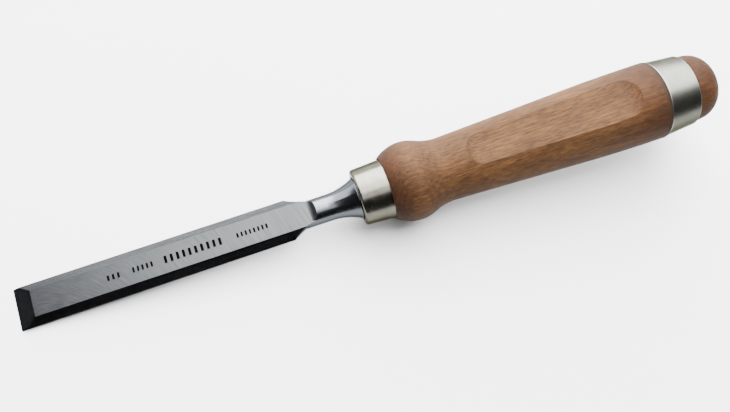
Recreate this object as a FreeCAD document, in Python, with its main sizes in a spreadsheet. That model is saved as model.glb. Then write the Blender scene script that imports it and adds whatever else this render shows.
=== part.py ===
import FreeCAD, Part
import os
import Sketcher

# Bench chisel: a bevel-edged forged blade whose tang is driven into a turned
# wooden handle, with a plated ferrule at the front and a plated hoop at the butt.
#
# Every piece is drawn along one common axis. X runs from the cutting edge
# (x = 0) to the butt, Y is the blade's width, and Z points to the bevelled side.
# The flat back of the blade lies in the plane of the handle's axis.
# The placements at the end lay the whole tool down on the plane Z = 0, bevelled
# side up, as it rests on a bench: on its cutting edge and on the front bulb of
# the handle. The origin is under the middle of its length.

doc = FreeCAD.newDocument("bench_chisel")
sizes = doc.addObject("Spreadsheet::Sheet", "sizes")

TABLE = [
    # Lengths along the axis, end to end.
    ("blade_length", 103.5),
    ("neck_length", 27.0),
    ("ferrule_length", 11.6),
    ("grip_length", 110.2),
    ("hoop_length", 12.6),
    ("butt_length", 12.4),
    # Blade: bevel-edged section, 25 degree primary bevel, tapered shoulder.
    ("blade_width", 16.0),
    ("blade_thickness", 3.2),
    ("side_bevel_width", 3.0),
    ("side_land", 1.0),
    ("bevel_angle", 25.0),
    ("shoulder_taper", 9.5),
    ("shoulder_sweep", 22.0),
    # Round neck, ground away to the face above and to the flat back below.
    ("neck_radius", 5.15),
    ("neck_root", 1.5),
    ("face_runout", 7.85),
    ("face_runout_radius", 3.0),
    ("back_runout", 2.0),
    ("back_runout_radius", 8.0),
    ("neck_straight", 15.5),
    ("bolster_radius", 8.0),
    ("bolster_land", 0.2),
    # Square tapered tang.
    ("tang_length", 58.0),
    ("tang_root_side", 7.5),
    ("tang_tip_side", 3.6),
    ("tang_clearance", 0.05),
    ("tang_end_gap", 2.0),
    # Ferrule: slightly conical sleeve with a rolled lip at its mouth.
    ("lip_face", 1.4),
    ("ferrule_flare", 0.6),
    ("ferrule_wall", 1.1),
    ("lip_radius", 1.0),
    ("lip_thickness", 1.2),
    ("mouth_clearance", 0.5),
    ("seat_clearance", 0.03),
    # Turned handle.
    ("shoulder_step", 0.7),
    ("bulb_radius", 15.4),
    ("bulb_offset", 9.4),
    ("bulb_rear_radius", 14.0),
    ("waist_radius", 12.45),
    ("waist_offset", 23.6),
    ("taper_drop", 0.4),
    ("taper_offset", 84.0),
    ("grip_radius", 15.4),
    ("edge_round", 0.5),
    # Flats milled along the grip, above and below.
    ("flat_start_offset", 36.7),
    ("flat_end_offset", 16.9),
    ("flat_start_depth", 1.0),
    ("flat_end_depth", 2.2),
    ("flat_cutter_radius", 12.0),
    # Hoop: conical striking ring on the butt.
    ("hoop_step", 0.35),
    ("hoop_taper", 1.05),
    ("hoop_wall", 0.9),
    ("hoop_edge_round", 0.3),
    # Butt: turned end with a rounded corner and a shallow dome.
    ("butt_corner_radius", 9.0),
    ("butt_dome_radius", 24.0),
]

for row, (alias, value) in enumerate(TABLE, start=1):
    sizes.set("A%d" % row, alias)
    sizes.set("B%d" % row, str(value))
    sizes.setAlias("B%d" % row, alias)
doc.recompute()


def cell(text):
    """Turn bare size names in a formula into references to the sheet."""
    for alias, value in sorted(TABLE, key=lambda pair: -len(pair[0])):
        text = text.replace("$" + alias, "sizes." + alias)
    return text


def number(text):
    """Value of a formula at the present sizes."""
    found = sizes.evalExpression(cell(text))
    return float(getattr(found, "Value", found))


# Stations along the axis.
EDGE = "0"
SHOULDER = "$blade_length"
FERRULE_FRONT = "($blade_length + $neck_length)"
FERRULE_REAR = "(%s + $ferrule_length)" % FERRULE_FRONT
HOOP_FRONT = "(%s + $grip_length)" % FERRULE_REAR
HOOP_REAR = "(%s + $hoop_length)" % HOOP_FRONT
BUTT_END = "(%s + $butt_length)" % HOOP_REAR
SEAT = "(%s + $lip_thickness)" % FERRULE_FRONT
LIP = "(%s + $lip_radius)" % FERRULE_FRONT

# Radii of the metal rings and of the wood that they fit to. The ferrule is
# built out from the bolster, and the hoop in from the grip.
MOUTH = "($bolster_radius + $mouth_clearance)"
LIP_START = "(%s + $lip_face)" % MOUTH
FERRULE_SMALL = "(%s + $lip_radius)" % LIP_START
FERRULE_LARGE = "(%s + $ferrule_flare)" % FERRULE_SMALL
WOOD_SHOULDER = "(%s + $shoulder_step)" % FERRULE_LARGE
HOOP_LARGE = "($grip_radius - $hoop_step)"
HOOP_SMALL = "(%s - $hoop_taper)" % HOOP_LARGE


def plane_of(body, role):
    for feature in body.Origin.OriginFeatures:
        if feature.Role == role:
            return feature
    raise ValueError(role)


def new_sketch(body, name, role):
    """Sketch on one of the body's own origin planes."""
    sketch = body.newObject("Sketcher::SketchObject", name)
    sketch.AttachmentSupport = [(plane_of(body, role), "")]
    sketch.MapMode = "FlatFace"
    return sketch


def fix(sketch, kind, first, first_pos, second, second_pos, formula):
    """Dimension bound to the sheet."""
    value = number(formula)
    index = sketch.addConstraint(Sketcher.Constraint(kind, first, first_pos, second, second_pos, value))
    sketch.setExpression("Constraints[%d]" % index, cell(formula))


def outline(sketch, points, arcs=None):
    """Closed outline through points given as pairs of formulas.

    arcs maps the number of a side to (radius formula, bulge): bulge is +1
    when the side's arc turns left of the straight way and -1 when it turns
    right.
    """
    arcs = arcs or {}
    spots = [(number(a), number(b)) for a, b in points]
    first = sketch.GeometryCount
    count = len(points)
    for side in range(count):
        x1, y1 = spots[side]
        x2, y2 = spots[(side + 1) % count]
        start = FreeCAD.Vector(x1, y1, 0)
        end = FreeCAD.Vector(x2, y2, 0)
        if side not in arcs:
            sketch.addGeometry(Part.LineSegment(start, end), False)
            continue
        radius = number(arcs[side][0])
        chord = end - start
        half = chord.Length / 2.0
        rise = radius - (radius * radius - half * half) ** 0.5
        left = FreeCAD.Vector(-chord.y, chord.x, 0).normalize()
        middle = (start + end) * 0.5 + left * (rise * arcs[side][1])
        sketch.addGeometry(Part.Arc(start, middle, end), False)
    # Which end of each side is its start: an arc drawn clockwise is stored reversed.
    ends = []
    for side in range(count):
        x1, y1 = spots[side]
        at = sketch.getPoint(first + side, 1)
        near = (at.x - x1) ** 2 + (at.y - y1) ** 2 < 1e-6
        ends.append((1, 2) if near else (2, 1))
    for side in range(count):
        following = (side + 1) % count
        sketch.addConstraint(Sketcher.Constraint(
            "Coincident", first + side, ends[side][1], first + following, ends[following][0]))
    for side in range(count):
        a, b = points[side]
        fix(sketch, "DistanceX", -1, 1, first + side, ends[side][0], a)
        fix(sketch, "DistanceY", -1, 1, first + side, ends[side][0], b)
    for side, (radius, bulge) in sorted(arcs.items()):
        index = sketch.addConstraint(Sketcher.Constraint("Radius", first + side, number(radius)))
        sketch.setExpression("Constraints[%d]" % index, cell(radius))


def require(condition, words):
    if not condition:
        raise RuntimeError(words)


def volume_change(body, make):
    """Run make, recompute, and give the change of the body's volume."""
    doc.recompute()
    before = body.Shape.Volume if body.Shape and not body.Shape.isNull() else 0.0
    feature = make()
    doc.recompute()
    return feature, body.Shape.Volume - before


def revolve(body, name, sketch):
    feature = body.newObject("PartDesign::Revolution", name)
    feature.Profile = sketch
    feature.ReferenceAxis = (sketch, ["H_Axis"])
    feature.Angle = 360.0
    return feature


def pad(body, name, sketch, length):
    feature = body.newObject("PartDesign::Pad", name)
    feature.Profile = sketch
    feature.setExpression("Length", cell(length))
    return feature


def pocket(body, name, sketch, length, middle=False, flip=False):
    feature = body.newObject("PartDesign::Pocket", name)
    feature.Profile = sketch
    feature.setExpression("Length", cell(length))
    if middle:
        feature.SideType = "Symmetric"
    feature.Reversed = flip
    return feature


# Blade: one forging. The bar is drawn in plan and padded to its thickness,
# with the shoulder swept in to the neck.
blade = doc.addObject("PartDesign::Body", "blade")
blade.Label = "blade"
HALF = "($blade_width / 2)"
FACE_HALF = "(%s - $side_bevel_width)" % HALF
TAPER_END = "(%s + $shoulder_taper)" % SHOULDER
# The bar narrows until its face is no wider than the round neck at that height.
WEB_HALF = "sqrt($neck_radius ^ 2 - $blade_thickness ^ 2)"
plan = new_sketch(blade, "blade_plan", "XY_Plane")
outline(
    plan,
    [
        (EDGE, "-" + HALF),
        (SHOULDER, "-" + HALF),
        (TAPER_END, "-" + WEB_HALF),
        (TAPER_END, WEB_HALF),
        (SHOULDER, HALF),
        (EDGE, HALF),
    ],
    {1: ("$shoulder_sweep", 1), 3: ("$shoulder_sweep", 1)},
)
pad(blade, "bar", plan, "$blade_thickness")
doc.recompute()

# The two long side bevels leave a narrow land above the flat back.
MARGIN = "2"
sides = new_sketch(blade, "side_bevel_section", "YZ_Plane")
for sign in ("", "-"):
    outline(
        sides,
        [
            (sign + FACE_HALF, "$blade_thickness"),
            (sign + HALF, "$side_land"),
            (sign + "(%s + %s)" % (HALF, MARGIN), "$side_land"),
            (sign + "(%s + %s)" % (HALF, MARGIN), "($blade_thickness + %s)" % MARGIN),
            (sign + FACE_HALF, "($blade_thickness + %s)" % MARGIN),
        ],
    )
made, change = volume_change(
    blade, lambda: pocket(blade, "side_bevels", sides, TAPER_END, flip=True))
require(change < -100, "side bevels cut nothing")

# Round neck with the flare of the bolster, turned about the axis.
neck = new_sketch(blade, "neck_profile", "XZ_Plane")
ROOT = "(%s + $neck_root)" % SHOULDER
STRAIGHT_END = "(%s + $neck_straight)" % SHOULDER
BOLSTER = "(%s - $bolster_land)" % FERRULE_FRONT
FLARE_RUN = "(%s - %s)" % (BOLSTER, STRAIGHT_END)
FLARE_RISE = "($bolster_radius - $neck_radius)"
FLARE = "((%s ^ 2 + %s ^ 2) / (2 * %s))" % (FLARE_RUN, FLARE_RISE, FLARE_RISE)
outline(
    neck,
    [
        (ROOT, "0"),
        (SEAT, "0"),
        (SEAT, "$bolster_radius"),
        (BOLSTER, "$bolster_radius"),
        (STRAIGHT_END, "$neck_radius"),
        (ROOT, "$neck_radius"),
    ],
    {3: (FLARE, 1)},
)
made, change = volume_change(blade, lambda: revolve(blade, "neck", neck))
require(change > 100, "neck adds nothing")

# The face and the flat back are ground into the round neck. Each wheel leaves
# a rounded run-out, which shows as an arc across the neck.
ground = new_sketch(blade, "grinding_profile", "XZ_Plane")
DEEP = "($bolster_radius + %s)" % MARGIN
FACE_RISE = "($neck_radius - $blade_thickness)"
FACE_END = "(%s + $face_runout)" % SHOULDER
FACE_RUN = "sqrt(%s * (2 * $face_runout_radius - %s))" % (FACE_RISE, FACE_RISE)
outline(
    ground,
    [
        (ROOT + " - 1", "$blade_thickness"),
        (FACE_END, "$blade_thickness"),
        ("(%s + %s)" % (FACE_END, FACE_RUN), "$neck_radius"),
        ("(%s + %s)" % (FACE_END, FACE_RUN), DEEP),
        (ROOT + " - 1", DEEP),
    ],
    {1: ("$face_runout_radius", -1)},
)
BACK_END = "(%s + $back_runout)" % SHOULDER
BACK_RUN = "sqrt($neck_radius * (2 * $back_runout_radius - $neck_radius))"
outline(
    ground,
    [
        (ROOT + " - 1", "0"),
        (BACK_END, "0"),
        ("(%s + %s)" % (BACK_END, BACK_RUN), "-$neck_radius"),
        ("(%s + %s)" % (BACK_END, BACK_RUN), "-" + DEEP),
        (ROOT + " - 1", "-" + DEEP),
    ],
    {1: ("$back_runout_radius", 1)},
)
made, change = volume_change(
    blade, lambda: pocket(blade, "ground_faces", ground, "$blade_width * 2", middle=True))
require(change < -100, "grinding cuts nothing")

# Primary bevel at the cutting edge.
tip = new_sketch(blade, "primary_bevel_profile", "XZ_Plane")
BEVEL_RUN = "($blade_thickness / tan($bevel_angle * 1deg))"
BEVEL_OVER = "((1 + %s / $blade_thickness))" % MARGIN
outline(
    tip,
    [
        (EDGE, "0"),
        ("(%s * %s)" % (BEVEL_RUN, BEVEL_OVER), "($blade_thickness * %s)" % BEVEL_OVER),
        ("-" + MARGIN, "($blade_thickness * %s)" % BEVEL_OVER),
        ("-" + MARGIN, "0"),
    ],
)
made, change = volume_change(
    blade, lambda: pocket(blade, "primary_bevel", tip, "$blade_width * 2", middle=True))
require(change < -50, "primary bevel cuts nothing")


def square(body, name, station, side):
    """Square section across the axis at a station."""
    sketch = new_sketch(body, name, "YZ_Plane")
    sketch.setExpression("AttachmentOffset.Base.z", cell(station))
    half = "((%s) / 2)" % side
    outline(sketch, [("-" + half, "-" + half), (half, "-" + half), (half, half), ("-" + half, half)])
    return sketch


# Tang: square and tapered, forged on behind the bolster.
TANG_END = "(%s + $tang_length)" % SEAT
tang_root = square(blade, "tang_root", SEAT, "$tang_root_side")
tang_tip = square(blade, "tang_tip", TANG_END, "$tang_tip_side")
doc.recompute()
tang = blade.newObject("PartDesign::AdditiveLoft", "tang")
tang.Profile = tang_root
tang.Sections = [tang_tip]
tang.Ruled = True
doc.recompute()

# Ferrule: conical sleeve, its front edge rolled in to a lip around the bolster.
ferrule = doc.addObject("PartDesign::Body", "ferrule")
ferrule.Label = "ferrule"
sleeve = new_sketch(ferrule, "ferrule_profile", "XZ_Plane")
outline(
    sleeve,
    [
        (FERRULE_FRONT, MOUTH),
        (SEAT, MOUTH),
        (SEAT, "(%s - $ferrule_wall)" % FERRULE_SMALL),
        (FERRULE_REAR, "(%s - $ferrule_wall)" % FERRULE_LARGE),
        (FERRULE_REAR, FERRULE_LARGE),
        (LIP, FERRULE_SMALL),
        (FERRULE_FRONT, LIP_START),
    ],
    {5: ("$lip_radius", -1)},
)
revolve(ferrule, "ferrule_sleeve", sleeve)
doc.recompute()

# Handle: turned hardwood.
handle = doc.addObject("PartDesign::Body", "handle")
handle.Label = "handle"
BULB = "(%s + $bulb_offset)" % FERRULE_REAR
WAIST = "(%s + $waist_offset)" % FERRULE_REAR
TAPER = "(%s + $taper_offset)" % FERRULE_REAR
BULB_RISE = "($bulb_radius - %s)" % WOOD_SHOULDER
BULB_FRONT = "(($bulb_offset ^ 2 + %s ^ 2) / (2 * %s))" % (BULB_RISE, BULB_RISE)
# Bulb and waist are joined by two arcs that meet at the same slope.
DROP = "($bulb_radius - $waist_radius)"
RUN = "($waist_offset - $bulb_offset)"
BOTH = "((%s ^ 2 + %s ^ 2) / (2 * %s))" % (RUN, DROP, DROP)
SHARE = "($bulb_rear_radius / %s)" % BOTH
MEET_X = "(%s + %s * %s)" % (BULB, SHARE, RUN)
MEET_R = "($bulb_radius - %s * %s)" % (SHARE, DROP)
WAIST_ARC = "(%s - $bulb_rear_radius)" % BOTH
# The grip swells to its largest radius at the shoulder that holds the hoop.
SWELL_RISE = "$taper_drop"
TAPER_RADIUS = "($grip_radius - $taper_drop)"
SWELL_RUN = "($grip_length - $edge_round - $taper_offset)"
SWELL = "((%s ^ 2 + %s ^ 2) / (2 * %s))" % (SWELL_RUN, SWELL_RISE, SWELL_RISE)
# Seats for the two metal rings.
FERRULE_FIT = "($ferrule_wall + $seat_clearance)"
HOOP_FIT = "($hoop_wall + $seat_clearance)"
BUTT_RADIUS = "(%s - %s)" % (HOOP_SMALL, HOOP_FIT)
# Corner arc and dome of the butt touch with one slope where they meet.
CORNER_R = "(%s - $butt_corner_radius)" % BUTT_RADIUS
BETWEEN = "($butt_dome_radius - $butt_corner_radius)"
CORNER_X = "(%s - $butt_dome_radius + sqrt(%s ^ 2 - %s ^ 2))" % (BUTT_END, BETWEEN, CORNER_R)
TOUCH_R = "(%s * $butt_dome_radius / %s)" % (CORNER_R, BETWEEN)
TOUCH_X = "(%s - $butt_dome_radius + sqrt($butt_dome_radius ^ 2 - %s ^ 2))" % (BUTT_END, TOUCH_R)
turned = new_sketch(handle, "handle_profile", "XZ_Plane")
outline(
    turned,
    [
        (SEAT, "0"),
        (SEAT, "(%s - %s)" % (FERRULE_SMALL, FERRULE_FIT)),
        (FERRULE_REAR, "(%s - %s)" % (FERRULE_LARGE, FERRULE_FIT)),
        (FERRULE_REAR, WOOD_SHOULDER),
        (BULB, "$bulb_radius"),
        (MEET_X, MEET_R),
        (WAIST, "$waist_radius"),
        (TAPER, TAPER_RADIUS),
        ("(%s - $edge_round)" % HOOP_FRONT, "$grip_radius"),
        (HOOP_FRONT, "($grip_radius - $edge_round)"),
        (HOOP_FRONT, "(%s - %s)" % (HOOP_LARGE, HOOP_FIT)),
        (HOOP_REAR, BUTT_RADIUS),
        (CORNER_X, BUTT_RADIUS),
        (TOUCH_X, TOUCH_R),
        (BUTT_END, "0"),
    ],
    {
        3: (BULB_FRONT, 1),
        4: ("$bulb_rear_radius", 1),
        5: (WAIST_ARC, -1),
        7: (SWELL, 1),
        8: ("$edge_round", 1),
        12: ("$butt_corner_radius", 1),
        13: ("$butt_dome_radius", 1),
    },
)
revolve(handle, "turned_blank", turned)
doc.recompute()

# Flats along the grip, cut by a round cutter that sinks in and lifts out.
flats = new_sketch(handle, "flat_profile", "XZ_Plane")
FLAT_START = "(%s + $flat_start_offset)" % FERRULE_REAR
FLAT_END = "(%s - $flat_end_offset)" % HOOP_FRONT
FLAT_TOP = "(max($grip_radius; $bulb_radius) + 1)"
FLAT_LOW = "($waist_radius - $flat_start_depth)"
FLAT_HIGH = "($grip_radius - $flat_end_depth)"
START_RISE = "(%s - %s)" % (FLAT_TOP, FLAT_LOW)
END_RISE = "(%s - %s)" % (FLAT_TOP, FLAT_HIGH)
START_RUN = "sqrt(%s * (2 * $flat_cutter_radius - %s))" % (START_RISE, START_RISE)
END_RUN = "sqrt(%s * (2 * $flat_cutter_radius - %s))" % (END_RISE, END_RISE)
for sign, turn in (("", 1), ("-", -1)):
    outline(
        flats,
        [
            ("(%s - %s)" % (FLAT_START, START_RUN), sign + FLAT_TOP),
            (FLAT_START, sign + FLAT_LOW),
            (FLAT_END, sign + FLAT_HIGH),
            ("(%s + %s)" % (FLAT_END, END_RUN), sign + FLAT_TOP),
        ],
        {0: ("$flat_cutter_radius", -turn), 2: ("$flat_cutter_radius", -turn)},
    )
made, change = volume_change(
    handle, lambda: pocket(handle, "milled_flats", flats, "$grip_radius * 4", middle=True))
require(change < -200, "flats cut nothing")

# Square hole that the tang is driven into, with a little room at its end.
ROOM = "(2 * $tang_clearance)"
hole_mouth = square(handle, "hole_mouth", SEAT, "$tang_root_side + " + ROOM)
hole_end = square(handle, "hole_end", "(%s + $tang_end_gap)" % TANG_END, "$tang_tip_side + " + ROOM)
doc.recompute()
before = handle.Shape.Volume
hole = handle.newObject("PartDesign::SubtractiveLoft", "tang_hole")
hole.Profile = hole_mouth
hole.Sections = [hole_end]
hole.Ruled = True
doc.recompute()
require(handle.Shape.Volume < before - 500, "tang hole cuts nothing")

# Hoop: conical ring that keeps the struck end from splitting.
hoop = doc.addObject("PartDesign::Body", "hoop")
hoop.Label = "hoop"
ring = new_sketch(hoop, "hoop_profile", "XZ_Plane")
outline(
    ring,
    [
        (HOOP_FRONT, "(%s - $hoop_wall)" % HOOP_LARGE),
        (HOOP_REAR, "(%s - $hoop_wall)" % HOOP_SMALL),
        (HOOP_REAR, "(%s - $hoop_edge_round)" % HOOP_SMALL),
        ("(%s - $hoop_edge_round)" % HOOP_REAR, HOOP_SMALL),
        ("(%s + $hoop_edge_round)" % HOOP_FRONT, HOOP_LARGE),
        (HOOP_FRONT, "(%s - $hoop_edge_round)" % HOOP_LARGE),
    ],
    {2: ("$hoop_edge_round", -1), 4: ("$hoop_edge_round", -1)},
)
revolve(hoop, "hoop_ring", ring)
doc.recompute()

# Lay the tool down. The line under it runs from the cutting edge and touches
# the bulb's front arc, or the widest part of the grip if that reaches lower.
ARC_LIFT = "(%s - $bulb_radius)" % BULB_FRONT
ARC_AWAY = "sqrt(%s ^ 2 + %s ^ 2)" % (BULB, ARC_LIFT)
ON_BULB = "(asin(%s / %s) - atan(%s / %s))" % (BULB_FRONT, ARC_AWAY, ARC_LIFT, BULB)
ON_GRIP = "atan($grip_radius / (%s - $edge_round))" % HOOP_FRONT
TILT = "max(%s; %s)" % (ON_BULB, ON_GRIP)
REACH = "((%s - $butt_dome_radius) * cos(%s) + $butt_dome_radius)" % (BUTT_END, TILT)
pieces = [blade, ferrule, handle, hoop]
for piece in pieces:
    tilted = FreeCAD.Rotation(FreeCAD.Vector(0, -1, 0), number(TILT))
    piece.Placement = FreeCAD.Placement(FreeCAD.Vector(0, 0, 0), tilted)
    piece.setExpression("Placement.Rotation.Angle", cell(TILT))
    piece.setExpression("Placement.Base.x", cell("-%s / 2" % REACH))
doc.recompute()

for item in doc.Objects:
    state = [word for word in item.State if word in ("Invalid", "Error")]
    require(not state, "%s: %s" % (item.Name, state))
for piece in pieces:
    shape = piece.Shape
    require(not shape.isNull() and shape.isValid(), piece.Label + " has no valid shape")
    require(len(shape.Solids) == 1, piece.Label + " is not one solid")

os.makedirs("parts", exist_ok=True)
for piece in pieces:
    piece.Shape.exportStep(os.path.join("parts", piece.Label + ".step"))
    box = piece.Shape.optimalBoundingBox()
    print(piece.Label, "volume", round(piece.Shape.Volume, 1),
          "x", round(box.XMin, 2), round(box.XMax, 2),
          "y", round(box.YMin, 2), round(box.YMax, 2),
          "z", round(box.ZMin, 2), round(box.ZMax, 2))
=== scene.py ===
"""Bench chisel lying on a pale bench: steel blade, nickel-plated ferrule and hoop, turned hardwood handle."""
import math

import bpy
from mathutils import Matrix, Vector


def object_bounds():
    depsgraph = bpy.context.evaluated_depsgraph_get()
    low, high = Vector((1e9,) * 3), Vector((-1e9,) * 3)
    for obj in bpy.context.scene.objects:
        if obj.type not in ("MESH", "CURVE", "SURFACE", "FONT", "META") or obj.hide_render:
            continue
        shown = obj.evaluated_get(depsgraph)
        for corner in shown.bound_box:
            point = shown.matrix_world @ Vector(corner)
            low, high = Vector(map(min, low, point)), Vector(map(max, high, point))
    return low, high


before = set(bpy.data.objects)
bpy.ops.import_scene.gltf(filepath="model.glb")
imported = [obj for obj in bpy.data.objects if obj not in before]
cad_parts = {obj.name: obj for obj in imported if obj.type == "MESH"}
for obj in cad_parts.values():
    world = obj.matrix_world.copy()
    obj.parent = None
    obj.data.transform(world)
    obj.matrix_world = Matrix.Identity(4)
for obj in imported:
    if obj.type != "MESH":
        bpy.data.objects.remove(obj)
cad_box = [list(corner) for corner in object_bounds()]

# Camera: a hand-held close view from above the blade side, looking down on the bevelled face, so that
# the tool runs from the lower left, where the cutting edge is nearest, to the upper right.
EYE = Vector((-0.05857, -0.07749, 0.28176))
LOOK_AT = Vector((-0.00653, -0.00387, 0.01343))
HEAD_UP = Vector((0.28560, 0.90863, 0.30467))

aim = (LOOK_AT - EYE).normalized()
right_hand = aim.cross(HEAD_UP).normalized()
camera_top = right_hand.cross(aim)
camera_lens = bpy.data.cameras.new("camera")
camera_lens.sensor_width = 36.0
camera_lens.lens = 37.02
camera_lens.clip_start = 0.01
camera = bpy.data.objects.new("camera", camera_lens)
bpy.context.scene.collection.objects.link(camera)
turned = Matrix((right_hand, camera_top, -aim)).transposed().to_4x4()
camera.matrix_world = Matrix.Translation(EYE) @ turned
bpy.context.scene.camera = camera


# Bench and light: a wide matt pale board and one large softbox above and beyond the tool, which draws a
# broad white highlight along every round metal part. A dim panel and a dim strip help it, and the room
# around is nearly dark, so that the polished parts show dark bands beside their highlights.
def srgb(code):
    """sRGB hex colour as linear red, green, blue and alpha."""
    parts = [int(code[at:at + 2], 16) / 255.0 for at in (1, 3, 5)]
    return tuple(c / 12.92 if c <= 0.04045 else ((c + 0.055) / 1.055) ** 2.4 for c in parts) + (1.0,)


def add(tree, kind, inputs=None, **settings):
    """Add one node with its settings, and set or link its inputs."""
    made = tree.nodes.new(kind)
    for name, value in settings.items():
        setattr(made, name, value)
    for name, value in (inputs or {}).items():
        if isinstance(value, bpy.types.NodeSocket):
            tree.links.new(value, made.inputs[name])
        else:
            made.inputs[name].default_value = value
    return made


def new_material(name):
    material = bpy.data.materials.new(name)
    material.use_nodes = True
    material.node_tree.nodes.clear()
    return material, material.node_tree


def finish_material(tree, surface):
    add(tree, "ShaderNodeOutputMaterial", {"Surface": surface.outputs[0]})


# Matt white paint, drawn light grey under so strong a softbox: it scatters the light evenly and shows
# only a soft shadow under the tool.
board_paint, tree = new_material("matt_white_board")
finish_material(tree, add(tree, "ShaderNodeBsdfPrincipled", {
    "Base Color": srgb("#c8c8c8"), "Roughness": 0.9, "Specular IOR Level": 0.1}))
BOARD_REACH = 3.0
board_mesh = bpy.data.meshes.new("bench_board")
corners = [(x * BOARD_REACH, y * BOARD_REACH, 0.0) for x, y in ((-1, -1), (1, -1), (1, 1), (-1, 1))]
board_mesh.from_pydata(corners, [], [(0, 1, 2, 3)])
board_mesh.materials.append(board_paint)
board = bpy.data.objects.new("bench_board", board_mesh)
bpy.context.scene.collection.objects.link(board)

world = bpy.data.worlds.new("studio")
bpy.context.scene.world = world
world.use_nodes = True
world.node_tree.nodes["Background"].inputs["Color"].default_value = srgb("#d8dbe0")
world.node_tree.nodes["Background"].inputs["Strength"].default_value = 0.08


def softbox(name, direction, distance, width, height, power):
    """Rectangular light that faces the tool from a direction, its width level with the tool's length."""
    lamp = bpy.data.lights.new(name, "AREA")
    lamp.shape = "RECTANGLE"
    lamp.size = width
    lamp.size_y = height
    lamp.energy = power
    way = Vector(direction).normalized()
    stand = bpy.data.objects.new(name, lamp)
    level = (Vector((1.0, 0.0, 0.0)) - way * way.x).normalized()
    stand.matrix_world = Matrix.Translation(way * distance) @ Matrix(
        (level, way.cross(level), way)).transposed().to_4x4()
    bpy.context.scene.collection.objects.link(stand)


softbox("softbox", (0.40, 0.727, 1.0), distance=1.0, width=1.05, height=1.93, power=196.0)
# The panel carries the highlight on towards the cutting edge, and the strip softens its near side.
softbox("left_panel", (-0.52, 1.376, 1.0), distance=1.02, width=0.85, height=1.0, power=30.0)
softbox("near_strip", (0.02, -0.33, 1.0), distance=1.05, width=0.62, height=0.36, power=4.4)

# Blade: one steel forging, hardened, its faces ground with a wheel and its neck polished. Its flat back
# lies in the plane of the tool's axis, which rises from the bench by AXIS_RISE and starts at the cutting
# edge. Every finish is placed in millimetres along, across and above that axis.
AXIS_RISE = math.radians(5.834)
EDGE_X = cad_box[0][0]
MM_PER_METRE = 1000.0
BAR_END = 103.5
FACE_END = 111.35
FACE_HEIGHT = 3.2
NECK_RADIUS = 5.15


def level_with_axis(tree, vector):
    """Turn a vector so that its X runs along the tool."""
    return add(tree, "ShaderNodeVectorRotate", {
        "Vector": vector, "Axis": (0.0, 1.0, 0.0), "Angle": AXIS_RISE}, rotation_type="AXIS_ANGLE").outputs[0]


def along_tool(tree):
    """Millimetres along the tool from the cutting edge, across it, and above its axis."""
    place = add(tree, "ShaderNodeTexCoord").outputs["Object"]
    shifted = add(tree, "ShaderNodeVectorMath", {0: place, 1: (-EDGE_X, 0.0, 0.0)}, operation="ADD")
    level = level_with_axis(tree, shifted.outputs[0])
    return add(tree, "ShaderNodeVectorMath", {0: level, "Scale": MM_PER_METRE}, operation="SCALE").outputs[0]


def finish_node(node, material):
    """Give a frame node its finish."""
    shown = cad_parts[node]
    shown.data.materials.clear()
    shown.data.materials.append(material)
    for face in shown.data.polygons:
        face.material_index = 0


# Tool steel: the ground face carries fine arcs left by the wheel, the bevels straight grinding lines, and
# the neck is nearly a mirror. The marks are rows of plain bars etched dark and matt into the face. The
# colours are darker than steel's own, because the softbox is very strong.
steel, tree = new_material("ground_tool_steel")
where = along_tool(tree)
spot = add(tree, "ShaderNodeSeparateXYZ", {"Vector": where})
# The bevelled side's flat face, at its full height and before the neck.
high = add(tree, "ShaderNodeMapRange", {
    "Value": spot.outputs["Z"], "From Min": FACE_HEIGHT - 0.08, "From Max": FACE_HEIGHT - 0.01},
    interpolation_type="SMOOTHSTEP")
before_neck = add(tree, "ShaderNodeMapRange", {
    "Value": spot.outputs["X"], "From Min": FACE_END - 0.75, "From Max": FACE_END + 1.05,
    "To Min": 1.0, "To Max": 0.0},
    interpolation_type="SMOOTHSTEP")
# The neck keeps its full round radius where no wheel has cut it.
round_way = add(tree, "ShaderNodeVectorMath", {0: where, 1: (0.0, 1.0, 1.0)}, operation="MULTIPLY")
neck_reach = add(tree, "ShaderNodeVectorMath", {0: round_way.outputs[0]}, operation="LENGTH")
past_bar = add(tree, "ShaderNodeMath", {0: spot.outputs["X"], 1: BAR_END + 0.1}, operation="GREATER_THAN")
polished = add(tree, "ShaderNodeMapRange", {
    "Value": neck_reach.outputs["Value"], "From Min": NECK_RADIUS - 0.13, "From Max": NECK_RADIUS - 0.02},
    interpolation_type="SMOOTHSTEP")
flat_top = add(tree, "ShaderNodeMapRange", {
    "Value": spot.outputs["Z"], "From Min": FACE_HEIGHT + 0.04, "From Max": FACE_HEIGHT + 0.10,
    "To Min": 1.0, "To Max": 0.0})
flat_face = add(tree, "ShaderNodeMath", {0: high.outputs[0], 1: flat_top.outputs[0]}, operation="MULTIPLY")
flat_end = add(tree, "ShaderNodeMath", {
    0: flat_face.outputs[0], 1: before_neck.outputs[0]}, operation="MULTIPLY")
off_flat = add(tree, "ShaderNodeMath", {0: 1.0, 1: flat_end.outputs[0]}, operation="SUBTRACT")
round_neck = add(tree, "ShaderNodeMath", {
    0: polished.outputs[0], 1: past_bar.outputs[0]}, operation="MULTIPLY")
mirror = add(tree, "ShaderNodeMath", {0: round_neck.outputs[0], 1: off_flat.outputs[0]}, operation="MULTIPLY")
unpolished = add(tree, "ShaderNodeMath", {0: 1.0, 1: mirror.outputs[0]}, operation="SUBTRACT")
on_face = add(tree, "ShaderNodeMath", {0: high.outputs[0], 1: unpolished.outputs[0]}, operation="MULTIPLY")
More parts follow.
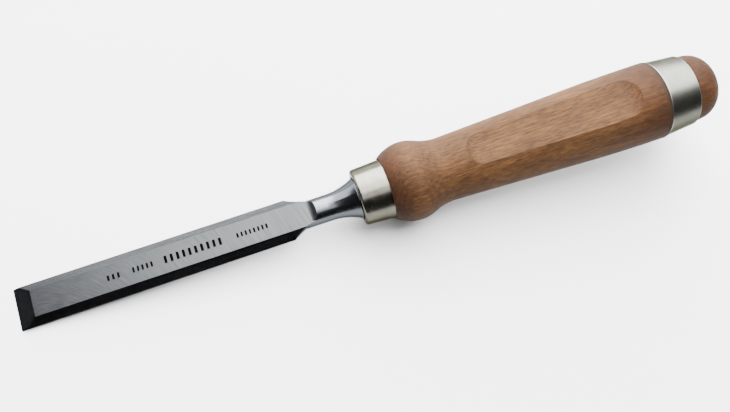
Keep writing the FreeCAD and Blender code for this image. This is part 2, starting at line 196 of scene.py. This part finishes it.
# Wheel arcs: streaks around a centre beside the blade, a few millimetres long. The real scratches are
# about 0.05 mm apart and are drawn about five times coarser.
WHEEL_CENTRE = (5.0, -28.0, 0.0)
LINES_PER_MM = 4.4
LINES_PER_RADIAN = 5.5
from_wheel = add(tree, "ShaderNodeVectorMath", {0: where, 1: WHEEL_CENTRE}, operation="SUBTRACT")
flat_way = add(tree, "ShaderNodeVectorMath", {
    0: from_wheel.outputs[0], 1: (1.0, 1.0, 0.0)}, operation="MULTIPLY")
wheel_parts = add(tree, "ShaderNodeSeparateXYZ", {"Vector": flat_way.outputs[0]})
wheel_radius = add(tree, "ShaderNodeVectorMath", {0: flat_way.outputs[0]}, operation="LENGTH")
wheel_turn = add(tree, "ShaderNodeMath", {
    0: wheel_parts.outputs["Y"], 1: wheel_parts.outputs["X"]}, operation="ARCTAN2")
radius_step = add(tree, "ShaderNodeMath", {
    0: wheel_radius.outputs["Value"], 1: LINES_PER_MM}, operation="MULTIPLY")
turn_step = add(tree, "ShaderNodeMath", {
    0: wheel_turn.outputs[0], 1: LINES_PER_RADIAN}, operation="MULTIPLY")
wheel_place = add(tree, "ShaderNodeCombineXYZ", {"X": radius_step.outputs[0], "Y": turn_step.outputs[0]})
wheel_lines = add(tree, "ShaderNodeTexNoise", {
    "Vector": wheel_place.outputs[0], "Scale": 1.0, "Detail": 3.0, "Roughness": 0.6})
# Straight grinding lines along the bevels and the back: about 12 mm long and 0.2 mm apart.
long_place = add(tree, "ShaderNodeVectorMath", {0: where, 1: (0.08, 5.0, 5.0)}, operation="MULTIPLY")
long_lines = add(tree, "ShaderNodeTexNoise", {
    "Vector": long_place.outputs[0], "Scale": 1.0, "Detail": 3.0, "Roughness": 0.6})
lines = add(tree, "ShaderNodeMix", {
    0: on_face.outputs[0], 2: long_lines.outputs[0], 3: wheel_lines.outputs[0]}, data_type="FLOAT")
# The steel is drawn darkest at the cutting edge: painted shade, standing in for the dimmer reflection there.
painted_edge_shade_ramp = add(tree, "ShaderNodeMapRange", {
    "Value": spot.outputs["X"], "From Min": -10.0, "From Max": 55.0}, interpolation_type="SMOOTHSTEP")
edge_shaded_colour = add(tree, "ShaderNodeMix", {
    0: painted_edge_shade_ramp.outputs[0], 6: srgb("#323336"), 7: srgb("#444647")}, data_type="RGBA")
line_tone = add(tree, "ShaderNodeMapRange", {
    "Value": lines.outputs[0], "From Min": 0.3, "From Max": 0.7, "To Min": 0.60, "To Max": 1.20})
# The face is drawn a little darker towards the shoulder: painted shade that dims its reflection there.
painted_shoulder_shade = add(tree, "ShaderNodeMapRange", {
    "Value": spot.outputs["X"], "From Min": 60.0, "From Max": 108.0, "To Min": 1.0, "To Max": 0.72})
# The long bevels are drawn brighter than the face, as finer grinding would make them look.
bevel_tone = add(tree, "ShaderNodeMapRange", {
    "Value": spot.outputs["X"], "From Min": 98.0, "From Max": 108.0, "To Min": 1.5, "To Max": 1.0})
# The primary bevel, which faces the cutting edge, is drawn brighter still, as honing would make it look.
blade_facing = add(tree, "ShaderNodeNewGeometry")
facing_ways = add(tree, "ShaderNodeSeparateXYZ", {"Vector": blade_facing.outputs["Normal"]})
edge_bevel = add(tree, "ShaderNodeMapRange", {
    "Value": facing_ways.outputs["X"], "From Min": -0.40, "From Max": -0.35, "To Min": 1.0, "To Max": 0.0})
honed_tone = add(tree, "ShaderNodeMix", {
    0: edge_bevel.outputs[0], 2: bevel_tone.outputs[0], 3: 2.8}, data_type="FLOAT")
place_tone = add(tree, "ShaderNodeMix", {
    0: on_face.outputs[0], 2: honed_tone.outputs[0], 3: painted_shoulder_shade.outputs[0]}, data_type="FLOAT")
face_tone = add(tree, "ShaderNodeMath", {
    0: line_tone.outputs[0], 1: place_tone.outputs[0]}, operation="MULTIPLY")
lined = add(tree, "ShaderNodeVectorMath", {
    0: edge_shaded_colour.outputs[2], "Scale": face_tone.outputs[0]}, operation="SCALE")
surface_tone = add(tree, "ShaderNodeMix", {
    0: mirror.outputs[0], 6: lined.outputs[0], 7: srgb("#474a4e")}, data_type="RGBA")
# Etched marks: plain bars in four rows along the middle of the face. Each row has its start, its number
# of bars, their spacing and half their height.
BAR_ROWS = (
    (34.4, 3, 1.9, 1.0),
    (43.9, 5, 1.7, 1.0),
    (55.8, 10, 2.3, 1.4),
    (83.4, 8, 1.6, 0.9),
)
BAR_SHARE = 0.45
across = add(tree, "ShaderNodeMath", {0: spot.outputs["Y"]}, operation="ABSOLUTE")
bars = None
for start, count, spacing, half_height in BAR_ROWS:
    place = add(tree, "ShaderNodeMath", {0: spot.outputs["X"], 1: start}, operation="SUBTRACT")
    phase = add(tree, "ShaderNodeMath", {0: place.outputs[0], 1: spacing}, operation="FLOORED_MODULO")
    solid = add(tree, "ShaderNodeMath", {0: phase.outputs[0], 1: spacing * BAR_SHARE}, operation="LESS_THAN")
    after = add(tree, "ShaderNodeMath", {0: place.outputs[0], 1: 0.0}, operation="GREATER_THAN")
    until = add(tree, "ShaderNodeMath", {0: place.outputs[0], 1: spacing * count}, operation="LESS_THAN")
    near = add(tree, "ShaderNodeMath", {0: across.outputs[0], 1: half_height}, operation="LESS_THAN")
    run = add(tree, "ShaderNodeMath", {0: after.outputs[0], 1: until.outputs[0]}, operation="MULTIPLY")
    row = add(tree, "ShaderNodeMath", {0: run.outputs[0], 1: near.outputs[0]}, operation="MULTIPLY")
    row = add(tree, "ShaderNodeMath", {0: row.outputs[0], 1: solid.outputs[0]}, operation="MULTIPLY")
    bars = row if bars is None else add(
        tree, "ShaderNodeMath", {0: bars.outputs[0], 1: row.outputs[0]}, operation="MAXIMUM")
etch = add(tree, "ShaderNodeMath", {0: bars.outputs[0], 1: on_face.outputs[0]}, operation="MULTIPLY")
marked = add(tree, "ShaderNodeMix", {
    0: etch.outputs[0], 6: surface_tone.outputs[2], 7: srgb("#080809")}, data_type="RGBA")
satin = add(tree, "ShaderNodeMapRange", {
    "Value": lines.outputs[0], "From Min": 0.3, "From Max": 0.7, "To Min": 0.34, "To Max": 0.44})
bevel_gloss = add(tree, "ShaderNodeMapRange", {
    "Value": lines.outputs[0], "From Min": 0.3, "From Max": 0.7, "To Min": 0.18, "To Max": 0.24})
ground_gloss = add(tree, "ShaderNodeMix", {
    0: on_face.outputs[0], 2: bevel_gloss.outputs[0], 3: satin.outputs[0]}, data_type="FLOAT")
gloss = add(tree, "ShaderNodeMix", {
    0: mirror.outputs[0], 2: ground_gloss.outputs[0], 3: 0.24}, data_type="FLOAT")
gloss_marked = add(tree, "ShaderNodeMix", {
    0: etch.outputs[0], 2: gloss.outputs[0], 3: 0.75}, data_type="FLOAT")
relief = add(tree, "ShaderNodeMix", {0: mirror.outputs[0], 2: 0.8, 3: 0.05}, data_type="FLOAT")
bump = add(tree, "ShaderNodeBump", {
    "Strength": relief.outputs[0], "Distance": 0.012 / MM_PER_METRE, "Height": lines.outputs[0]})
# The edge tint is darker than clean steel's, so that what the blade reflects at a shallow angle is dulled
# as by a thin film of oil.
shader = add(tree, "ShaderNodeBsdfPrincipled", {
    "Base Color": marked.outputs[2], "Metallic": 1.0, "Roughness": gloss_marked.outputs[0],
    "Specular Tint": srgb("#a2a2a0"), "Normal": bump.outputs[0]})
finish_material(tree, shader)
finish_node("blade", steel)

# Ferrule: deep-drawn steel sleeve, nickel plated and polished, pressed over the front of the handle. The
# plate is warm and bright, with faint rings from polishing, about 0.3 mm apart, and an uneven film.
# Its colours and its edge tint are darker than clean nickel's, because the softbox is very strong.
nickel, tree = new_material("polished_nickel_plate")
where = along_tool(tree)
spot = add(tree, "ShaderNodeSeparateXYZ", {"Vector": where})
ring_place = add(tree, "ShaderNodeVectorMath", {0: where, 1: (3.2, 0.12, 0.12)}, operation="MULTIPLY")
ring_lines = add(tree, "ShaderNodeTexNoise", {
    "Vector": ring_place.outputs[0], "Scale": 1.0, "Detail": 3.0, "Roughness": 0.55})
film = add(tree, "ShaderNodeTexNoise", {"Vector": where, "Scale": 0.22, "Detail": 3.0, "Roughness": 0.6})
film_tone = add(tree, "ShaderNodeMapRange", {
    "Value": film.outputs[0], "From Min": 0.35, "From Max": 0.65, "To Min": 0.0, "To Max": 1.0})
plate_tone = add(tree, "ShaderNodeMix", {
    0: film_tone.outputs[0], 6: srgb("#4d4b44"), 7: srgb("#54544d")}, data_type="RGBA")
ring_tone = add(tree, "ShaderNodeMapRange", {
    "Value": ring_lines.outputs[0], "From Min": 0.3, "From Max": 0.7, "To Min": 0.93, "To Max": 1.05})
plated = add(tree, "ShaderNodeVectorMath", {
    0: plate_tone.outputs[2], "Scale": ring_tone.outputs[0]}, operation="SCALE")
plate_gloss = add(tree, "ShaderNodeMapRange", {
    "Value": film.outputs[0], "From Min": 0.3, "From Max": 0.7, "To Min": 0.22, "To Max": 0.28})
bump = add(tree, "ShaderNodeBump", {
    "Strength": 0.4, "Distance": 0.006 / MM_PER_METRE, "Height": ring_lines.outputs[0]})
shader = add(tree, "ShaderNodeBsdfPrincipled", {
    "Base Color": plated.outputs[0], "Metallic": 1.0, "Roughness": plate_gloss.outputs[0],
    "Specular Tint": srgb("#9a9a96"), "Normal": bump.outputs[0]})
finish_material(tree, shader)
finish_node("ferrule", nickel)

# Handle: turned open-pored hardwood with a thin satin lacquer, driven on to the tang. The growth rings
# are solid layers round a pith outside the blank, so they bend round the bulb, and the pores show as
# short dark dashes along the grain. End grain and the wood by the ferrule took up more finish. Towards
# the hoop and over the butt the wood is darkened as painted shade, where the light falls off.
FERRULE_REAR = 142.1
HOOP_FRONT = 252.3
HOOP_REAR = 264.9
PITH = (0.0, 31.0, -18.0)
YEAR_WIDTH = 0.95
wood, tree = new_material("lacquered_hardwood")
where = along_tool(tree)
spot = add(tree, "ShaderNodeSeparateXYZ", {"Vector": where})
# Layers: distance from the pith in growth rings 0.95 mm wide, wandering by a millimetre or two along the
# handle.
wander_place = add(tree, "ShaderNodeVectorMath", {0: where, 1: (0.012, 0.05, 0.05)}, operation="MULTIPLY")
wander = add(tree, "ShaderNodeTexNoise", {
    "Vector": wander_place.outputs[0], "Scale": 1.0, "Detail": 2.0, "Roughness": 0.5})
wander_size = add(tree, "ShaderNodeVectorMath", {
    0: wander.outputs["Color"], "Scale": 3.5}, operation="SCALE")
from_pith = add(tree, "ShaderNodeVectorMath", {0: where, 1: PITH}, operation="SUBTRACT")
bent = add(tree, "ShaderNodeVectorMath", {
    0: from_pith.outputs[0], 1: wander_size.outputs[0]}, operation="ADD")
cross = add(tree, "ShaderNodeVectorMath", {0: bent.outputs[0], 1: (0.0, 1.0, 1.0)}, operation="MULTIPLY")
depth = add(tree, "ShaderNodeVectorMath", {0: cross.outputs[0]}, operation="LENGTH")
year = add(tree, "ShaderNodeMath", {0: depth.outputs["Value"], 1: YEAR_WIDTH}, operation="DIVIDE")
in_year = add(tree, "ShaderNodeMath", {0: year.outputs[0]}, operation="FRACT")
late = add(tree, "ShaderNodeMapRange", {
    "Value": in_year.outputs[0], "From Min": 0.25, "From Max": 0.95}, interpolation_type="SMOOTHSTEP")
early = add(tree, "ShaderNodeMapRange", {
    "Value": in_year.outputs[0], "From Min": 0.0, "From Max": 0.12}, interpolation_type="SMOOTHSTEP")
year_tone = add(tree, "ShaderNodeMath", {0: late.outputs[0], 1: early.outputs[0]}, operation="MULTIPLY")
layer = add(tree, "ShaderNodeMix", {
    0: year_tone.outputs[0], 6: srgb("#3e2914"), 7: srgb("#382311")}, data_type="RGBA")
# Fibres: streaks about 11 mm long and 0.4 mm wide, coarser than the real ones.
fibre_place = add(tree, "ShaderNodeVectorMath", {0: where, 1: (0.09, 2.6, 2.6)}, operation="MULTIPLY")
fibre = add(tree, "ShaderNodeTexNoise", {
    "Vector": fibre_place.outputs[0], "Scale": 1.0, "Detail": 4.0, "Roughness": 0.65})
fibre_tone = add(tree, "ShaderNodeMapRange", {
    "Value": fibre.outputs[0], "From Min": 0.3, "From Max": 0.7, "To Min": 0.50, "To Max": 1.46})
streaked = add(tree, "ShaderNodeVectorMath", {
    0: layer.outputs[2], "Scale": fibre_tone.outputs[0]}, operation="SCALE")
# Broad patches of tone, a few centimetres long.
patch_place = add(tree, "ShaderNodeVectorMath", {0: where, 1: (0.035, 0.11, 0.11)}, operation="MULTIPLY")
patch = add(tree, "ShaderNodeTexNoise", {
    "Vector": patch_place.outputs[0], "Scale": 1.0, "Detail": 2.0, "Roughness": 0.5})
patch_tone = add(tree, "ShaderNodeMapRange", {
    "Value": patch.outputs[0], "From Min": 0.3, "From Max": 0.7, "To Min": 0.80, "To Max": 1.16})
# Figure: flecks a few millimetres long that break up the straight streaks.
figure_place = add(tree, "ShaderNodeVectorMath", {0: where, 1: (0.26, 0.80, 0.80)}, operation="MULTIPLY")
figure = add(tree, "ShaderNodeTexNoise", {
    "Vector": figure_place.outputs[0], "Scale": 1.0, "Detail": 3.0, "Roughness": 0.6})
figure_tone = add(tree, "ShaderNodeMapRange", {
    "Value": figure.outputs[0], "From Min": 0.35, "From Max": 0.65, "To Min": 0.80, "To Max": 1.22})
figured = add(tree, "ShaderNodeMath", {
    0: patch_tone.outputs[0], 1: figure_tone.outputs[0]}, operation="MULTIPLY")
patched = add(tree, "ShaderNodeVectorMath", {
    0: streaked.outputs[0], "Scale": figured.outputs[0]}, operation="SCALE")
# Pores: cells 5 mm long and a third of a millimetre across, with a dark thread down the middle of each.
pore_place = add(tree, "ShaderNodeVectorMath", {0: where, 1: (0.20, 2.9, 2.9)}, operation="MULTIPLY")
pores = add(tree, "ShaderNodeTexVoronoi", {"Vector": pore_place.outputs[0], "Scale": 1.0, "Randomness": 1.0})
pore = add(tree, "ShaderNodeMapRange", {
    "Value": pores.outputs["Distance"], "From Min": 0.22, "From Max": 0.38, "To Min": 1.0, "To Max": 0.0},
    interpolation_type="SMOOTHSTEP")
open_pored = add(tree, "ShaderNodeMapRange", {
    "Value": patch.outputs[0], "From Min": 0.35, "From Max": 0.65, "To Min": 0.95, "To Max": 0.5})
pore_depth = add(tree, "ShaderNodeMath", {
    0: pore.outputs[0], 1: open_pored.outputs[0]}, operation="MULTIPLY")
pored = add(tree, "ShaderNodeMix", {
    0: pore_depth.outputs[0], 6: patched.outputs[0], 7: srgb("#200f07")}, data_type="RGBA")
# End grain: where the surface turns to face along the handle.
facing = add(tree, "ShaderNodeNewGeometry")
facing_tool = level_with_axis(tree, facing.outputs["Normal"])
facing_parts = add(tree, "ShaderNodeSeparateXYZ", {"Vector": facing_tool})
lengthwise = add(tree, "ShaderNodeMath", {0: facing_parts.outputs["X"]}, operation="ABSOLUTE")
end_grain = add(tree, "ShaderNodeMapRange", {
    "Value": lengthwise.outputs[0], "From Min": 0.15, "From Max": 0.70, "To Min": 0.0, "To Max": 0.8})
at_ferrule = add(tree, "ShaderNodeMapRange", {
    "Value": spot.outputs["X"], "From Min": FERRULE_REAR - 0.1, "From Max": FERRULE_REAR + 12.9,
    "To Min": 0.85, "To Max": 0.0},
    interpolation_type="SMOOTHSTEP")
# Painted shade: the wood is darkened towards the hoop and over the butt, where the light falls off along the
# handle.
butt_shade_ramp = add(tree, "ShaderNodeMapRange", {
    "Value": spot.outputs["X"], "From Min": HOOP_REAR - 2.9, "From Max": HOOP_REAR + 3.1,
    "To Min": 0.0, "To Max": 0.6})
hoop_shade_ramp = add(tree, "ShaderNodeMapRange", {
    "Value": spot.outputs["X"], "From Min": HOOP_FRONT - 30.3, "From Max": HOOP_FRONT - 0.3,
    "To Min": 0.0, "To Max": 0.7},
    interpolation_type="SMOOTHSTEP")
painted_rear_shade = add(tree, "ShaderNodeMath", {0: butt_shade_ramp.outputs[0], 1: hoop_shade_ramp.outputs[0]}, operation="MAXIMUM")
# Soaked finish at the ferrule and end grain, and the painted shade at the rear, darken the wood in one
# multiply.
soaked_and_shaded_ends = add(tree, "ShaderNodeMath", {
    0: painted_rear_shade.outputs[0], 1: at_ferrule.outputs[0]}, operation="MAXIMUM")
soaked_and_shaded = add(tree, "ShaderNodeMath", {
    0: end_grain.outputs[0], 1: soaked_and_shaded_ends.outputs[0]}, operation="MAXIMUM")
finish_and_painted_shade = add(tree, "ShaderNodeMix", {
    0: soaked_and_shaded.outputs[0], 6: pored.outputs[2], 7: srgb("#9c7c62")}, data_type="RGBA", blend_type="MULTIPLY")
# A dark line against the hoop: painted shade in the groove where the handle meets it.
groove_shade_ramp = add(tree, "ShaderNodeMapRange", {
    "Value": spot.outputs["X"], "From Min": HOOP_FRONT - 1.9, "From Max": HOOP_FRONT - 1.3,
    "To Min": 0.0, "To Max": 0.95})
before_hoop = add(tree, "ShaderNodeMath", {
    0: spot.outputs["X"], 1: HOOP_FRONT + 0.7}, operation="LESS_THAN")
painted_groove_shade = add(tree, "ShaderNodeMath", {
    0: groove_shade_ramp.outputs[0], 1: before_hoop.outputs[0]}, operation="MULTIPLY")
groove_shaded_wood = add(tree, "ShaderNodeMix", {
    0: painted_groove_shade.outputs[0], 6: finish_and_painted_shade.outputs[2], 7: srgb("#1d130a")}, data_type="RGBA")
height = add(tree, "ShaderNodeMath", {0: fibre.outputs[0], 1: pore.outputs[0]}, operation="SUBTRACT")
bump = add(tree, "ShaderNodeBump", {
    "Strength": 0.5, "Distance": 0.06 / MM_PER_METRE, "Height": height.outputs[0]})
wood_gloss = add(tree, "ShaderNodeMapRange", {
    "Value": fibre.outputs[0], "From Min": 0.3, "From Max": 0.7, "To Min": 0.66, "To Max": 0.80})
shader = add(tree, "ShaderNodeBsdfPrincipled", {
    "Base Color": groove_shaded_wood.outputs[2], "Roughness": wood_gloss.outputs[0], "Specular IOR Level": 0.10,
    "Normal": bump.outputs[0]})
finish_material(tree, shader)
finish_node("handle", wood)

# Hoop: rolled steel ring, nickel plated and brushed round and round, driven on to the butt to keep the
# mallet from splitting it. The brushing lines, 0.2 mm apart and coarser than real ones, make its
# highlight broad and soft. Its rims are drawn brighter: a painted highlight along each edge.
# Its colours and its edge tint too are darker than clean nickel's.
RIM_HIGHLIGHT_START = 5.8
hoop_nickel, tree = new_material("brushed_nickel_plate")
where = along_tool(tree)
spot = add(tree, "ShaderNodeSeparateXYZ", {"Vector": where})
brush_place = add(tree, "ShaderNodeVectorMath", {0: where, 1: (5.0, 0.10, 0.10)}, operation="MULTIPLY")
brushed = add(tree, "ShaderNodeTexNoise", {
    "Vector": brush_place.outputs[0], "Scale": 1.0, "Detail": 4.0, "Roughness": 0.6})
cloud = add(tree, "ShaderNodeTexNoise", {"Vector": where, "Scale": 0.15, "Detail": 3.0, "Roughness": 0.6})
cloud_tone = add(tree, "ShaderNodeMapRange", {
    "Value": cloud.outputs[0], "From Min": 0.35, "From Max": 0.65})
ring_colour = add(tree, "ShaderNodeMix", {
    0: cloud_tone.outputs[0], 6: srgb("#4c4d49"), 7: srgb("#575751")}, data_type="RGBA")
from_middle = add(tree, "ShaderNodeMath", {
    0: spot.outputs["X"], 1: (HOOP_FRONT + HOOP_REAR) / 2}, operation="SUBTRACT")
off_middle = add(tree, "ShaderNodeMath", {0: from_middle.outputs[0]}, operation="ABSOLUTE")
# Painted highlight: a bright band along each rim of the hoop.
painted_rim_highlight = add(tree, "ShaderNodeMapRange", {
    "Value": off_middle.outputs[0], "From Min": RIM_HIGHLIGHT_START, "From Max": RIM_HIGHLIGHT_START + 0.4,
    "To Min": 0.0, "To Max": 0.45})
rim_highlighted = add(tree, "ShaderNodeMix", {
    0: painted_rim_highlight.outputs[0], 6: ring_colour.outputs[2], 7: srgb("#a2a29c")}, data_type="RGBA")
brush_tone = add(tree, "ShaderNodeMapRange", {
    "Value": brushed.outputs[0], "From Min": 0.3, "From Max": 0.7, "To Min": 0.94, "To Max": 1.05})
toned = add(tree, "ShaderNodeVectorMath", {
    0: rim_highlighted.outputs[2], "Scale": brush_tone.outputs[0]}, operation="SCALE")
brush_gloss = add(tree, "ShaderNodeMapRange", {
    "Value": brushed.outputs[0], "From Min": 0.3, "From Max": 0.7, "To Min": 0.29, "To Max": 0.34})
bump = add(tree, "ShaderNodeBump", {
    "Strength": 0.6, "Distance": 0.01 / MM_PER_METRE, "Height": brushed.outputs[0]})
shader = add(tree, "ShaderNodeBsdfPrincipled", {
    "Base Color": toned.outputs[0], "Metallic": 1.0, "Roughness": brush_gloss.outputs[0],
    "Specular Tint": srgb("#9a9a96"), "Normal": bump.outputs[0]})
finish_material(tree, shader)
finish_node("hoop", hoop_nickel)
